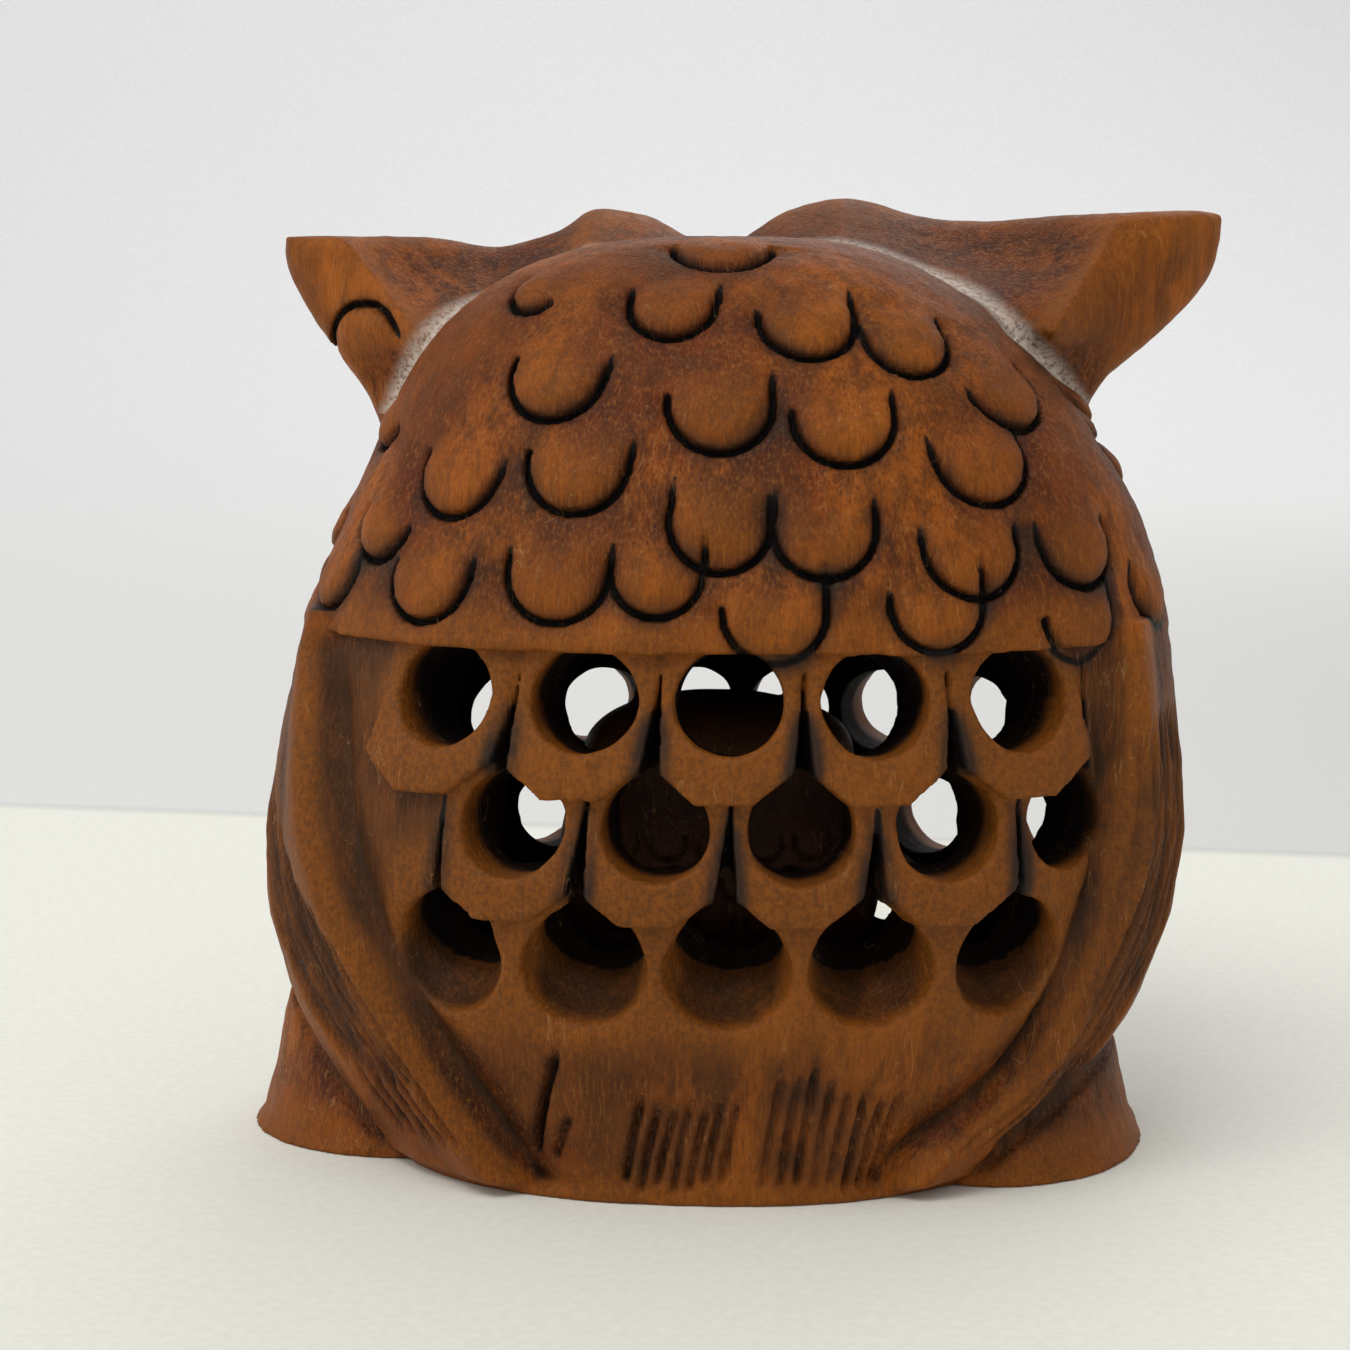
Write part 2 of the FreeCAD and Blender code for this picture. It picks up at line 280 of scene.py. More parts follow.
# round the barrel: arc length from the middle of the back, positive towards +X
theta_t = np.linspace(0.0, math.pi, 721)
r_t = []
for t in theta_t:
    c, s = math.cos(t), math.sin(t)
    r_t.append((abs(s / BODY_HALF) ** N + abs(c / (BACK if c > 0 else FRONT)) ** N) ** (-1.0 / N))
r_t = np.array(r_t)
outline_pts = np.stack([r_t * np.sin(theta_t), r_t * np.cos(theta_t)], 1)
arc_t = np.concatenate([[0.0], np.cumsum(np.hypot(*(outline_pts[1:] - outline_pts[:-1]).T))])
ARC_END = arc_t[-1]


def arc_of(x, z, back=True):
    """Arc length of the point of the barrel that is seen at (x, z) from behind or from the front."""
    x, z = np.asarray(x, float), np.asarray(z, float)
    angle = np.arctan2(np.abs(x - middle(z)), barrel_y(x, z, back))
    return np.sign(x - middle(z)) * np.interp(angle, theta_t, arc_t)


# relief map of the barrel: rows run round it, columns up it
MAP_STEP = 0.25
arcs = np.arange(-ARC_END, ARC_END + MAP_STEP, MAP_STEP)
S2, Z2 = np.meshgrid(arcs, levels, indexing="ij")
relief = np.zeros_like(S2)
groove_shade_map = np.zeros_like(S2)      # painted shade in each cut, 0 to 1


def on_map(points, back=True, shift=0.0):
    """A smooth line on the map through (x, z) points."""
    p = spline(points)
    return np.stack([arc_of(p[:, 0], p[:, 1], back) + shift, p[:, 1]], 1)


def groove(path, width, depth, fade=(0.12, 0.18), dark=0.75):
    """V groove along a path on the map, running out at both ends."""
    low, high = path.min(0) - 3.0, path.max(0) + 3.0
    i = slice(*np.searchsorted(arcs, (low[0], high[0])))
    j = slice(*np.searchsorted(levels, (low[1], high[1])))
    d, t, _ = path_field(S2[i, j], Z2[i, j], path)
    run = smooth_between(t, 0.0, fade[0]) * (1.0 - smooth_between(t, 1.0 - fade[1], 1.0))
    wobble = 1.0 + 0.12 * np.sin(t * 9.0 + path[0, 0])
    cut = run * wobble * np.exp(-(d / (0.62 * width)) ** 2)
    relief[i, j] -= depth * cut
    # painted shade in the groove, weaker towards the bottom
    shaded = dark * np.clip(cut * 1.2, 0.0, 1.0) * (0.6 + 0.4 * smooth_between(Z2[i, j], 6.0, 22.0))
    groove_shade_map[i, j] = np.maximum(groove_shade_map[i, j], shaded)


rng = np.random.default_rng(7)
# wings: a crest down each side of the back, a hollow inside it and long flutes outside it
LEFT_CREST = [(40.4, 53.0), (40.5, 44.0), (39.2, 34.0), (35.4, 24.0), (29.8, 14.5), (21.5, 3.0)]
RIGHT_CREST = [(-37.8, 53.0), (-38.9, 43.0), (-38.6, 34.0), (-35.2, 22.5), (-31.0, 14.5), (-25.5, 8.5),
               (-18.5, 3.5)]
for crest, sign in ((LEFT_CREST, 1.0), (RIGHT_CREST, -1.0)):
    path = on_map(crest + [(crest[-1][0] - sign * 5.0, -6.0)])
    path = np.vstack([[path[0][0], 70.0], path])
    d, _, side = path_field(S2, Z2, path)
    outward = d * side * sign          # positive on the wing's side
    wing = smooth_between(outward, -1.6, 1.3) * (2.7 - 1.5 * smooth_between(outward, 1.0, 8.0))
    wing *= 1.0 - smooth_between(outward, 46.0, 49.0)
    inner_slope = np.exp(-np.clip(-1.7 - outward, 0.0, None) / 3.2)
    hollow = np.where(outward < -1.7, inner_slope, np.exp(-((outward + 1.7) / 1.1) ** 2))
    hollow *= (1.5 + 0.6 * smooth_between(26.0 - Z2, 0.0, 16.0)) * smooth_between(LEDGE_Z - Z2, 0.5, 9.0)
    relief += (wing - hollow) * (S2 * sign > 0)
    # painted shade down the hollow inside each crest
    groove_shade_map = np.maximum(groove_shade_map, 0.30 * (S2 * sign > 0) * np.exp(-((outward + 1.6) / 1.2) ** 2)
                        * smooth_between(LEDGE_Z - Z2, 0.5, 6.0) * smooth_between(Z2, 10.0, 24.0))
# flutes outside each crest: side, how many, offset of the first, spacing, top of the first, rise of the tops
FLUTES = ((LEFT_CREST, 1.0, 10, 2.4, 1.75, 27.0, 2.2),
          (RIGHT_CREST, -1.0, 11, -1.1, 1.65, 49.0, 0.0))
for crest, sign, count, first, spacing, start, later in FLUTES:
    line = on_map(crest)
    for k in range(count):              # they start a little further along each time and close up downwards
        end = 9.0 if k % 2 else 3.0
        path = line[(line[:, 1] < start + later * k) & (line[:, 1] > end)].copy()
        close = 0.78 + 0.22 * np.clip(path[:, 1] / 36.0, 0.0, 1.0)
        path[:, 0] += sign * ((first + spacing * k) * close + 0.22 * np.sin(path[:, 1] * 0.3 + 2.0 * k))
        groove(path, 0.78, 1.15 + 0.3 * math.sin(3.1 * k), (0.10, 0.10), 0.36)
SIDE_ARC = float(np.interp(math.pi / 2.0, theta_t, arc_t))
up_line = np.linspace(44.0, 4.0, 40)
for sign in (1.0, -1.0):
    for k in range(5):                  # flutes on the front of both wings
        path = np.stack([sign * (SIDE_ARC + 3.0 + 2.4 * k + 9.0 * (1.0 - up_line / 44.0) ** 1.6), up_line], 1)
        groove(path[k * 2:], 0.90, 1.2, (0.15, 0.16), 0.4)
# tail: three groups of short flutes
TAIL = [((16.1, 17.0), (19.6, 3.5), 1.7), ((15.0, 9.5), (17.2, 4.0), 0.9)]
for first, count, gap, top_z, drop in ((7.6, 7, 1.6, 12.4, 0.0), (-6.2, 8, 1.65, 17.0, 0.6)):
    for k in range(count):
        x = first - gap * k
        TAIL.append(((x, top_z - drop * k + rng.uniform(-1.2, 1.2)), (x + 2.3, 0.9 + rng.uniform(-0.6, 0.9)),
                     rng.uniform(0.7, 1.15)))
for top, bottom, deep in TAIL:
    halfway = ((top[0] + bottom[0]) / 2 + 0.2, (top[1] + bottom[1]) / 2)
    groove(on_map([top, halfway, bottom]), 0.74, 1.05 * deep, (0.25, 0.12), 0.62)
rim_fade = smooth_between(Z2, 0.2, 1.8)
relief *= rim_fade
groove_shade_map *= rim_fade


def rows_of_bores():
    """Every bore of the back and of the chest: (row, point on the skin, outward direction, radius)."""
    back, front = [], []
    for row in range(3):
        offsets = (2, 1, 0, -1, -2) if row != 1 else (1.5, 0.5, -0.5, -1.5, -2.5)
        for o in offsets:
            x = o * PITCH + LATTICE_X + (1.5 if o == -2.5 else 0.0)
            z = TOP_ROW_Z - row * ROW_STEP
            at = np.array([x, float(barrel_y(x, z)), z])
            way = at - np.array([LATTICE_X, -20.0, (44.0, 38.0, 60.0)[row]])
            back.append((row, at, way / np.linalg.norm(way), BORE / 2))
        for i in range(7):
            x = LATTICE_X + ((i - 3.0) if row == 1 else (i - 2.5)) * FRONT_PITCH
            if (row != 1 and i == 6) or (row == 2 and i in (0, 5)):
                continue
            z = FRONT_ROW_Z - row * ROW_STEP
            at = np.array([x, float(barrel_y(x, z, False)), z])
            way = at - np.array([LATTICE_X, 30.0, (44.0, 36.0, 48.0)[row]])
            front.append((row, at, way / np.linalg.norm(way), FRONT_BORE / 2))
    return back, front


back_bores, front_bores = rows_of_bores()


angle = np.arctan2(np.abs(XM), Y * np.ones_like(XM))
S3 = np.sign(XM) * np.interp(angle, theta_t, arc_t).astype(np.float32)
del angle, rho


def lifted(table):
    """The map's value at every voxel."""
    at = (S3 - arcs[0]) / MAP_STEP
    i = np.clip(at.astype(np.int32), 0, len(arcs) - 2)
    t = (at - i).astype(np.float32)
    j = np.broadcast_to(np.arange(outer.shape[2])[None, None, :], i.shape)
    table = table.astype(np.float32)
    return table[i, j] * (1 - t) + table[i + 1, j] * t


body = skin - lifted(relief)
# the barrel ends just above the ledge, inside the mantle
body = np.where(Z < LEDGE_Z + 2.0, body, smax(body, Z - LEDGE_Z - 2.0, 1.0))


def bore_field(x, y, z, at, way, radius):
    px, py, pz = x - at[0], y - at[1], z - at[2]
    along = px * way[0] + py * way[1] + pz * way[2]
    return np.sqrt(np.maximum(px * px + py * py + pz * pz - along * along, 0.0)) - radius, along


# the lowest row of the back is drilled a little low, that of the chest a little outwards and narrower
for bores, drop, outwards, less in ((back_bores, 1.8, 0.0, 0.0), (front_bores, 0.0, 1.6, 0.7)):
    for row, at, way, radius in bores:
        if row == 2:
            at = at + np.array([outwards * np.sign(at[0] - LATTICE_X), 0.0, -drop])
            radius = radius - less
        cut, wx, wy, wz = outer.window(at - way * 7.0, 20.0)
        around, along = bore_field(wx, wy, wz, at, way, radius)
        hole = smax(around, -along - 20.0, 0.5)
        rim = 0.5 if row < 2 else 1.1
        body[cut] = smax(body[cut], -hole, rim)

# the lowest bores open downwards into shallow bowls
bowl_depth = np.full(outer.shape, 99.0, np.float32)
for bores, is_back in ((back_bores, True), (front_bores, False)):
    for row, at, way, radius in bores:
        if row < 2:
            continue
        across = np.array([way[1], -way[0], 0.0])
        cut, wx, wy, wz = outer.window(at, 11.0)
        ox, oy, oz = wx - at[0] - way[0] * 1.5, wy - at[1] - way[1] * 1.5, wz - at[2] + 2.2
        side_u = ox * across[0] + oy * across[1]
        out_u = ox * way[0] + oy * way[1]
        k = radius / 5.2
        bowl = (np.sqrt((side_u / 5.5) ** 2 + (out_u / 6.2) ** 2 + (oz / 5.9) ** 2) - k) * 5.5
        body[cut] = smax(body[cut], -bowl.astype(np.float32), 0.5)
        bowl_depth[cut] = np.minimum(bowl_depth[cut], bowl)

# scallops: raised plates with a straight lower edge and cut corners, each round its own bore
for bores, pitch, size, is_back in ((back_bores, PITCH, 1.0, True), (front_bores, FRONT_PITCH, 0.86, False)):
    for row in (1, 0):
        for r, at, way, radius in bores:
            if r != row:
                continue
            if is_back and row == 1 and at[0] < -30.0:
                continue
            cut, wx, wy, wz = outer.window(at, (12.0, 12.0, 15.0))
            s0 = float(arc_of(at[0], at[2], is_back))
            u = (S3[cut] - s0)
            v = (wz - at[2]) * np.ones_like(u)
            w = pitch / 2.0 * (0.98 + 0.10 * abs(s0) / 45.0)
            low = -9.5 * size
            flat, knee = 2.6 * size, 3.5 * size
            cut_length = math.hypot(knee, w - flat)
            corner = (np.abs(u) - flat) * knee / cut_length - (v - low) * (w - flat) / cut_length
            shape = np.maximum(np.maximum(np.abs(u) - w - 0.1, low - v), np.maximum(corner, v - 4.6 * size))
            hole = bore_field(wx, wy, wz, at, way, radius)[0]
            rise = 0.15 + 1.35 * smooth_between(-v, -3.0, 9.5 * size)
            slab = smax(skin[cut] - rise, -(skin[cut] + 2.0), 0.3)
            slab = smax(slab, shape.astype(np.float32), 0.45)
            slab = smax(slab, -hole, 0.55)
            body[cut] = smin(body[cut], slab, 0.12)


# V slits between neighbouring scallops, shallow at the top and running into the bore below
def v_slit(x, z, back, deepest, size):
    """Wedge between two scallops: a hair's width at the top, wide and deep where it meets the bore."""
    centre = (x, float(barrel_y(x, z, back)), z - 3.0)
    cut, _, _, wz = outer.window(centre, (7.0, 8.0, 9.0))
    u = np.abs(S3[cut] - float(arc_of(x, z - 2.0, back)))
    t = np.clip((z + 2.8 - wz) / 10.4, 0.0, 1.0)
    wide = (0.10 + 0.95 * t ** 1.4) * size
    wedge = np.maximum(u - wide * (1.0 - 0.2 * np.clip(-skin[cut] / deepest, 0.0, 1.0)),
                       -skin[cut] - (0.6 + deepest * t))
    wedge = np.maximum(np.maximum(wedge, wz - z - 2.8), z - 8.2 * size - wz)
    body[cut] = smax(body[cut], -wedge.astype(np.float32), 0.25)
    # painted shade inside the slit
    crease_shade[cut] = np.maximum(crease_shade[cut], np.clip(0.9 - wedge * 2.4, 0.0, 0.95) * (t > 0.03))


# painted shade in grooves, slits and folds, 0 to 1, first taken from the groove map
crease_shade = np.where(np.abs(skin) < 4.5, lifted(groove_shade_map), 0.0).astype(np.float32)
for bores, pitch, is_back, deepest, size in ((back_bores, PITCH, True, 6.0, 1.0),
                                             (front_bores, FRONT_PITCH, False, 5.0, 0.85)):
    for row, at, way, radius in bores:
        if row < 2 and not (is_back and row == 1 and at[0] < -30.0):
            v_slit(at[0] - pitch / 2.0, at[2], is_back, deepest, size)
            if is_back and row == 1 and at[0] > 20.0:
                v_slit(at[0] + pitch / 2.0, at[2], is_back, deepest * 0.7, size)
del S3

# --- mantle ---------------------------------------------------------------------------------------
def dome_middle(z):
    """Middle of the mantle: its top is drawn back over to +X."""
    return middle(z) + 3.6 * smooth_between(z, 66.0, 92.0)


top_cut = (slice(None), slice(None), slice(int((LEDGE_Z - 5.0 - outer.low[2]) / STEP), None))
tz = Z[:, :, top_cut[2]]
rise = np.clip((tz - LEDGE_Z) / (DOME_TOP - LEDGE_Z), 0.0, None)
mx = X - dome_middle(tz)
ring = (np.abs(mx / MANTLE_HALF) ** N + np.abs(Y / np.where(Y > 0, MANTLE_BACK, FRONT)) ** N) ** (1.0 / N)
F = ring ** (1.0 / DOME_ROUND) + rise ** DOME_RISE - 1.0
gx, gy, gz = np.gradient(F, STEP)
slope = np.sqrt(gx * gx + gy * gy + gz * gz)
dome = (F / np.maximum(slope, 0.008)).astype(np.float32)
dome = np.clip(dome, -12.0, 30.0)
del gx, gy, gz, slope, ring, F


class Part:
    """A field on the upper voxels only, with its own window."""

    def __init__(self, d):
        self.d = d
        self.nominal = d.copy()
        self.line = np.zeros_like(d)
        self.k0 = top_cut[2].start

    def window(self, centre, reach):
        cut, wx, wy, wz = outer.window(centre, reach)
        a = max(cut[2].start - self.k0, 0)
        b = max(cut[2].stop - self.k0, 0)
        low = (cut[0], cut[1], slice(a, b))
        return low, wx, wy, outer.z[:, :, a + self.k0:b + self.k0]


dome = Part(dome)


def dome_point(x, z, back=True):
    """The point of the mantle seen at (x, z), its normal, and the upward tangent."""
    def f(x, y, z):
        deep = MANTLE_BACK if y > 0 else FRONT
        across = abs((x - dome_middle(z)) / MANTLE_HALF) ** N + abs(y / deep) ** N
        height = max((z - LEDGE_Z) / (DOME_TOP - LEDGE_Z), 0.0)
        return across ** (1.0 / N / DOME_ROUND) + height ** DOME_RISE - 1.0

    k = (1.0 - min(max((z - LEDGE_Z) / (DOME_TOP - LEDGE_Z), 0.0), 0.999) ** DOME_RISE) ** DOME_ROUND
    t = min(abs((x - dome_middle(z)) / (MANTLE_HALF * k)), 0.999)
    y = (MANTLE_BACK if back else -FRONT) * k * (1.0 - t ** N) ** (1.0 / N)
    p = np.array([x, y, z])
    e = 0.05
    n = np.array([f(*(p + e * a)) - f(*(p - e * a)) for a in np.eye(3)])
    n /= np.linalg.norm(n)
    up = np.array([0.0, 0.0, 1.0]) - n * n[2]
    up /= np.linalg.norm(up) + 1e-9
    return p, n, up


def feather(part, centre, normal, up, r, turn=0.0, legs=(0.6, 0.9), deep=1.45, ground=0.5):
    """An incised U: a round lower edge, legs fading out upwards, the feather slightly domed inside it."""
    across = np.cross(up, normal)
    c, s = math.cos(turn), math.sin(turn)
    up, across = up * c + across * s, across * c - up * s
    cut, wx, wy, wz = part.window(centre, r * 1.9 + 3.0)
    if min(part.d[cut].shape) == 0:
        return
    px, py, pz = wx - centre[0], wy - centre[1], wz - centre[2]
    u = px * across[0] + py * across[1] + pz * across[2]
    v = px * up[0] + py * up[1] + pz * up[2]
    off = px * normal[0] + py * normal[1] + pz * normal[2]
    e = np.where(v < 0, np.sqrt(u * u + v * v), np.abs(u)) - r
    end = np.where(u > 0, legs[1], legs[0]) * r
    run = 1.0 - smooth_between(v, end * 0.15, end)
    wide = 0.24 + 0.24 * np.clip(run * 1.6, 0.0, 1.0)
    v_cut = np.clip((wide - np.abs(e)) / 0.26, 0.0, 1.0) * deep * run
    outside = ground * np.exp(-np.clip(e, 0.0, None) / 2.2) * (e > 0) * run
    inside = 0.55 * smooth_between(-e, 0.0, 2.2) * (1.0 - smooth_between(v, -0.35 * r, 1.1 * r))
    near = np.abs(off) < 6.0
    part.d[cut] += ((outside - inside) * near).astype(np.float32)
    # the knife's line itself is one clean cut, however many lines cross there
    line = ((part.nominal[cut] + v_cut) * near - 99.0 * ~near).astype(np.float32)
    part.d[cut] = np.where((v_cut > 0) & near, np.maximum(part.d[cut], line), part.d[cut])
    # part.line marks each knife line for painted shade in the wood
    part.line[cut] = np.maximum(part.line[cut], (np.clip((wide - np.abs(e)) / 0.25, 0.0, 1.0) * (run > 0.04)
                                                 * near).astype(np.float32))


# feathers of the mantle as (x, z, radius, turn in degrees, left leg, right leg)
FEATHERS = [
    (1.2, 94.0, 5.0, 0, 0.1, 0.1), (5.9, 88.6, 4.3, 8, 0.4, 0.9), (-7.4, 87.2, 4.8, -4, 0.3, 0.9),
    (-17.4, 85.2, 4.4, -8, 0.8, 0.6), (17.2, 81.6, 4.9, 14, 0.2, 0.9), (0.9, 79.0, 5.1, -2, 0.3, 0.8),
    (-11.1, 77.8, 5.0, -2, 0.3, 0.7), (-27.2, 80.0, 4.4, -24, 0.8, 0.5), (27.0, 72.0, 4.7, 20, 0.2, 0.9),
    (14.8, 73.2, 5.1, 10, 0.1, 0.9), (-24.7, 73.9, 5.0, -14, 0.9, 0.5), (0.7, 67.8, 4.9, 6, 0.9, 0.9),
    (-9.3, 67.4, 5.0, -6, 0.9, 0.6), (35.0, 66.6, 4.0, 22, 0.1, 0.6), (29.7, 62.0, 4.7, 12, 0.2, 0.9),
    (16.5, 63.0, 5.1, 8, 0.4, 0.9), (6.8, 63.2, 4.5, 4, 0.2, 0.8), (-23.7, 65.2, 4.9, -8, 0.8, 0.5),
    (-34.3, 65.4, 4.6, -12, 0.9, 0.5), (-4.6, 59.6, 5.0, -2, 0.2, 0.9), (-20.3, 60.2, 4.7, -6, 0.5, 0.8),
    (-34.7, 58.6, 4.6, -4, 0.1, 0.9), (-42.4, 60.2, 4.2, 0, 0.9, 0.2), (-26.6, 88.0, 3.6, -40, 0.4, 0.2),
    (-37.6, 78.8, 3.8, -40, 0.6, 0.2), (35.1, 76.6, 3.4, 24, 0.1, 0.3), (19.7, 89.6, 3.0, 30, 0.2, 0.1),
    (40.6, 61.2, 4.2, 4, 0.3, 0.9), (43.6, 67.0, 4.0, 0, 0.6, 0.6)]
for x, z, r, turn, left, right in FEATHERS:
    p, n, up = dome_point(x, z)
    feather(dome, p, n, up, r, math.radians(turn), (left, right))
# the same feathers go on round both sides to the face
for side in (-1, 1):
    for row, z in enumerate((60.5, 67.0, 73.5, 79.5)):
        k = (1.0 - ((z - LEDGE_Z) / (DOME_TOP - LEDGE_Z)) ** DOME_RISE) ** DOME_ROUND
        for i in range(2):
            t = math.radians((92, 110)[i] + (row % 2) * 9)
            x = middle(z) + side * MANTLE_HALF * k * abs(math.sin(t)) ** (2 / N) * 0.995
            p, n, up = dome_point(x, z, back=False)
            feather(dome, p, n, up, 4.4, 0.0, (0.8, 0.8))

mantle = smax(dome.d, LEDGE_Z - tz, 0.5)

# --- face plate and ears --------------------------------------------------------------------------
PLATE = [(-52.0, 97.8), (-51.6, 94.8), (-50.2, 91.0), (-46.8, 87.0), (-42.6, 83.4), (-38.6, 80.0),
         (-36.0, 75.0), (-35.5, 69.0), (-30.0, 62.0), (-16.0, 57.0), (FACE_X, 55.6), (19.0, 57.0),
         (33.0, 62.0), (38.0, 69.0), (38.4, 75.0), (40.6, 79.4), (44.0, 83.4), (47.0, 87.8), (48.8, 91.0),
         (49.3, 93.4)]
BROWS = [(49.1, 94.9), (46.0, 95.0), (38.0, 95.0), (32.2, 94.8), (26.8, 94.2), (20.4, 96.0),
         (16.4, 98.4), (10.8, 97.6), (7.0, 95.6), (2.5, 94.0), (-1.4, 96.0), (-5.0, 98.2),
         (-10.7, 99.5), (-15.0, 98.9), (-19.4, 97.6),
         (-27.0, 97.0), (-34.0, 97.6), (-42.0, 97.9), (-49.0, 98.0)]
outline = np.vstack([spline(PLATE, 6), spline(BROWS, 6)])
px, pz = np.broadcast_arrays(X[:, 0, :], Z[:, 0, :])
flat = outline_field(px, pz, outline)
lean = math.tan(math.radians(PLATE_LEAN)) * (pz - 70.0)
front_y = PLATE_Y + px ** 2 / (2 * PLATE_R) + lean
# the back of the plate is a hillside: from the crest it runs down and back to its seam with the mantle
top_line = np.array(BROWS[::-1])
crest_z = np.interp(px, top_line[:, 0], top_line[:, 1])
crest_y = PLATE_Y + 7.5 + px ** 2 / (2 * PLATE_R) + 1.8
hill = 2.5 - 1.6 * smooth_between(np.abs(px), 18.0, 42.0)
back_y = crest_y + hill * np.clip(crest_z - pz, 0.0, None)
back_y = smin(back_y, 7.5 - 7.5 * (px / 31.0) ** 2, 4.0)
# a slanting ridge on the back of each ear, its outer side falling away faster
for tip, foot, sign in (((43.0, 95.6), (33.0, 84.5), 1.0), ((-41.0, 98.5), (-32.5, 85.5), -1.0)):
    d, _, side = path_field(px, pz, np.array([tip, foot]))
    back_y = back_y + 5.5 * np.exp(-d / np.where(side * sign > 0, 6.5, 3.2)) * smooth_between(pz, 79.0, 86.0)
# shallow hollows behind the brow bumps
for x0, z0 in ((24.0, 91.0), (-22.0, 92.5)):
    back_y = back_y - 3.0 * np.exp(-((px - x0) / 8.0) ** 2 - ((pz - z0) / 5.0) ** 2)

# face relief, seen from the front: (x, z) map, positive stands out
face = np.zeros_like(front_y)
for side in (-1, 1):
    ex, ez = FACE_X + side * EYE_X, EYE_Z
    r = np.hypot(px - ex, pz - ez)
    turn = np.arctan2(pz - ez, px - ex)
    disc = smooth_between(r, 8.6, 10.4) * (1 - smooth_between(r, 16.5, 18.5))
    face += -1.5 * disc * (0.6 + 0.4 * np.cos(r / 3.2))
    face += -0.45 * disc * np.abs(np.sin(turn * 17.0)) ** 0.6
    face += 1.7 * np.exp(-((r - 9.2) / 1.15) ** 2) - 1.4 * np.exp(-((r - 6.7) / 0.9) ** 2)
    face += np.where(r < 5.6, 1.5 * np.sqrt(np.clip(1 - (r / 5.6) ** 2, 0, 1)), 0.0)
    face += -0.8 * np.exp(-((r - 2.2) / 0.45) ** 2)
    brow = spline([(FACE_X + side * 1.8, 80.5), (FACE_X + side * 7.0, 87.0), (FACE_X + side * 20.0, 90.2),
                   (FACE_X + side * 34.0, 92.0), (FACE_X + side * 46.0, 94.5)])
    d = path_field(px, pz, brow)[0]
    face += 2.0 * np.exp(-(d / 2.3) ** 2)
    for k in range(13):
        at = brow[6 + 3 * k]
        tick = np.array([at, at + np.array([side * 2.6, 4.0])])
        d = path_field(px, pz, tick)[0]
        face += -0.55 * np.exp(-(d / 0.45) ** 2)
for row in range(3):
    for i in range(-4 + row, 5 - row):
        u = px - (FACE_X + i * 7.4 + (row % 2) * 3.7)
        v = pz - (64.5 + abs(i) * 0.9 - row * 3.0)
        e = np.where(v < 0, np.hypot(u, v), np.abs(u)) - 3.2
        face += -0.6 * np.exp(-(e / 0.42) ** 2) * (1 - smooth_between(v, 0.0, 1.6))
front_y = front_y - face
edge3 = flat[:, None, :].astype(np.float32)
plate = smax(edge3, (front_y[:, None, :] - Y).astype(np.float32), 1.8)
plate = smax(plate, (Y - back_y[:, None, :]).astype(np.float32) * np.float32(0.8), 1.5)
plate = plate[top_cut]
# arc cut on the back of the +X ear
plate_part = Part(plate)
ear_y = float(np.interp(83.5, levels, back_y[int(np.searchsorted(X.ravel(), 39.5))]))
feather(plate_part, np.array([39.5, ear_y, 83.5]), np.array([0.25, 0.95, 0.1]),
        np.array([-0.55, 0.05, -0.83]), 4.4, 0.0, (0.5, 0.9), 1.2, 0.2)

# --- beak, toes, feet -----------------------------------------------------------------------------
def capsule(block, a, b, ra, rb):
    """A rounded rod from a to b that tapers from radius ra to rb, in its own window."""
    a, b = np.array(a, float), np.array(b, float)
    cut, wx, wy, wz = block.window((a + b) / 2, np.abs(b - a) / 2 + max(ra, rb) + 4.0)
    d = b - a
    t = np.clip(((wx - a[0]) * d[0] + (wy - a[1]) * d[1] + (wz - a[2]) * d[2]) / float(d @ d), 0.0, 1.0)
    q = np.sqrt((wx - a[0] - t * d[0]) ** 2 + (wy - a[1] - t * d[1]) ** 2 + (wz - a[2] - t * d[2]) ** 2)
    return cut, q - (ra + (rb - ra) * t)


# feet: flared pads that show outside the wings at the bottom
for side, reach, heel in ((1, 52.2, 16.0), (-1, 44.5, 22.0)):
    cut, wx, wy, wz = outer.window((side * (reach - 13.0), 0.0, 8.0), (24.0, 30.0, 18.0))
    zz = np.clip(wz, 0.0, 24.0)
    edge_x = side * (reach - np.interp(zz, (0.0, 1.5, 6.0, 12.0, 18.0, 24.0), (0.2, 1.4, 2.6, 3.7, 5.2, 8.0)))
    a = np.interp(zz, (0.0, 9.0, 24.0), (17.0, 15.0, 12.0))
    x0 = edge_x - side * a
    hb = heel * np.interp(zz, (0.0, 4.0, 9.0, 16.0, 24.0), (1.0, 0.95, 0.85, 0.72, 0.5))
    hf = np.interp(zz, (0.0, 4.0, 9.0, 16.0, 20.0), (21.0, 20.5, 18.0, 14.0, 11.0))
    yy = wy + 1.0
    boxy = 2.0 + 1.1 * smooth_between(-yy, -4.0, 4.0)
    q = (np.abs((wx - x0) / a) ** boxy + np.abs(yy / np.where(yy > 0, hb, hf)) ** boxy) ** (1 / boxy)
    foot = from_outline(wx - x0, yy, q) * 0.9
    foot = smax(foot, wz - 21.0, 3.0).astype(np.float32)
    fold = np.maximum(np.abs(body[cut]), np.abs(foot)) * smooth_between(40.0 - wz, 0.0, 1.0)
    body[cut] = smin(body[cut], foot, 0.4) + 0.9 * np.exp(-(fold / 0.8) ** 2) * smooth_between(wz, 0.5, 3.0)
    # painted shade in the fold where the foot meets the body
    crease_shade[cut] = np.maximum(crease_shade[cut], 0.55 * np.exp(-(fold / 0.6) ** 2))
